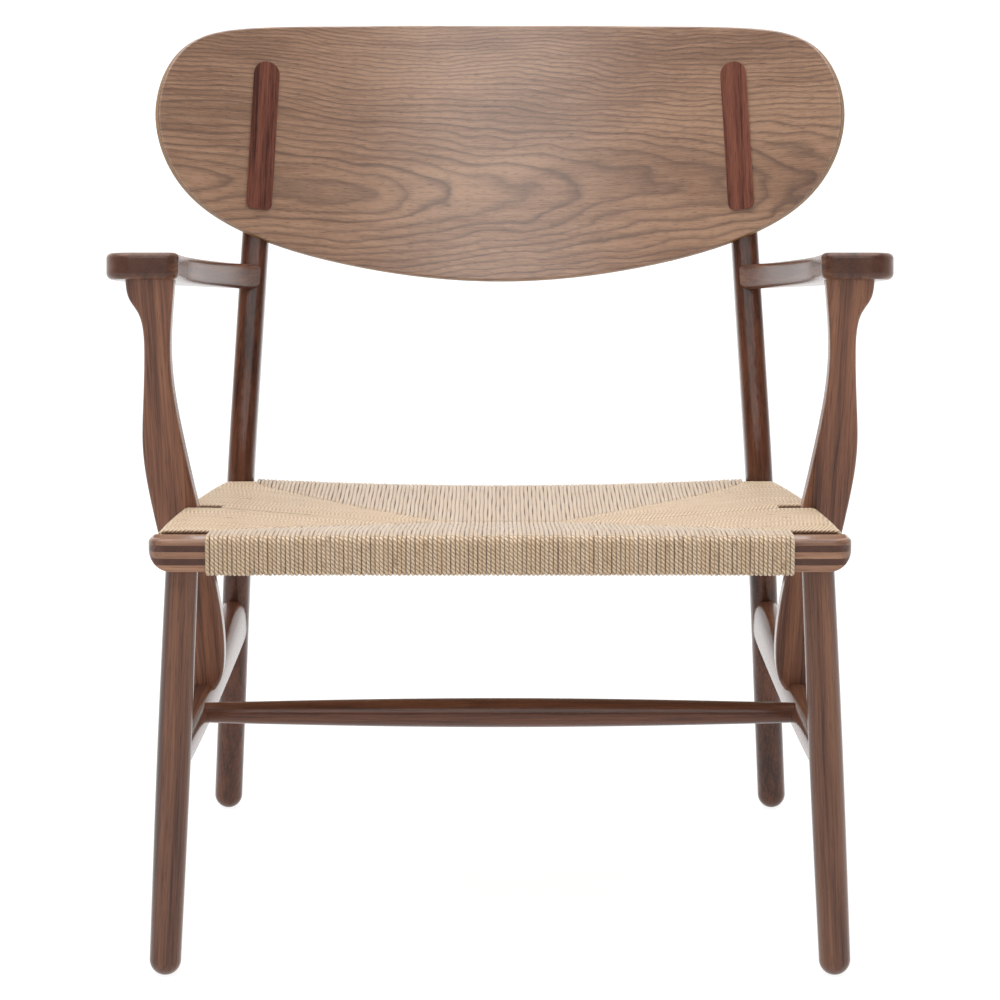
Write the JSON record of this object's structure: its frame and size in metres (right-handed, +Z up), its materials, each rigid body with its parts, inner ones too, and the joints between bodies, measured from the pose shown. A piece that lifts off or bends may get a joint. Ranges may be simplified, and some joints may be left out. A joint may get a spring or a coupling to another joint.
{
  "type": "lounge armchair",
  "caption": "Low wooden lounge armchair with a curved laminated backrest, paddle arms on shaped supports and a woven paper-cord seat.",
  "frame": {"origin": "bottom centre of the bounding box, on the floor midway between the four feet's extremes", "axes": "+Z up, +X to the right as seen from the front, +Y from the front of the seat to the back"},
  "size_m": [0.6928, 0.6213, 0.7584],
  "materials": {
    "walnut_frame": "oiled solid walnut",
    "walnut_veneer": "oiled walnut veneer",
    "plywood_core": "laminated plies, clear finish",
    "walnut_cap": "oiled solid walnut",
    "paper_cord": "natural waxed paper cord",
    "screw_steel": "zinc plated",
    "tack_steel": "blued steel"
  },
  "bodies": {
    "root": {"front_seat_rail": "walnut_frame", "side_seat_rail_left": "walnut_frame", "side_seat_rail_right": "walnut_frame", "rear_seat_rail": "walnut_frame", "front_leg_left": "walnut_frame", "front_leg_right": "walnut_frame", "rear_leg_left": "walnut_frame", "rear_leg_right": "walnut_frame", "side_stretcher_left": "walnut_frame", "side_stretcher_right": "walnut_frame", "cross_stretcher": "walnut_frame", "rear_stretcher": "walnut_frame", "arm_left": "walnut_frame", "arm_right": "walnut_frame", "arm_support_left": "walnut_frame", "arm_support_right": "walnut_frame", "backrest_face_veneer": "walnut_veneer", "backrest_rear_veneer": "walnut_veneer", "backrest_core": "plywood_core", "cover_cap_left": "walnut_cap", "cover_cap_right": "walnut_cap", "seat_cord_front": "paper_cord", "seat_cord_rear": "paper_cord", "seat_cord_left": "paper_cord", "seat_cord_right": "paper_cord", "back_screws": "screw_steel", "cord_tacks": "tack_steel"}
  },
  "joints": []
}
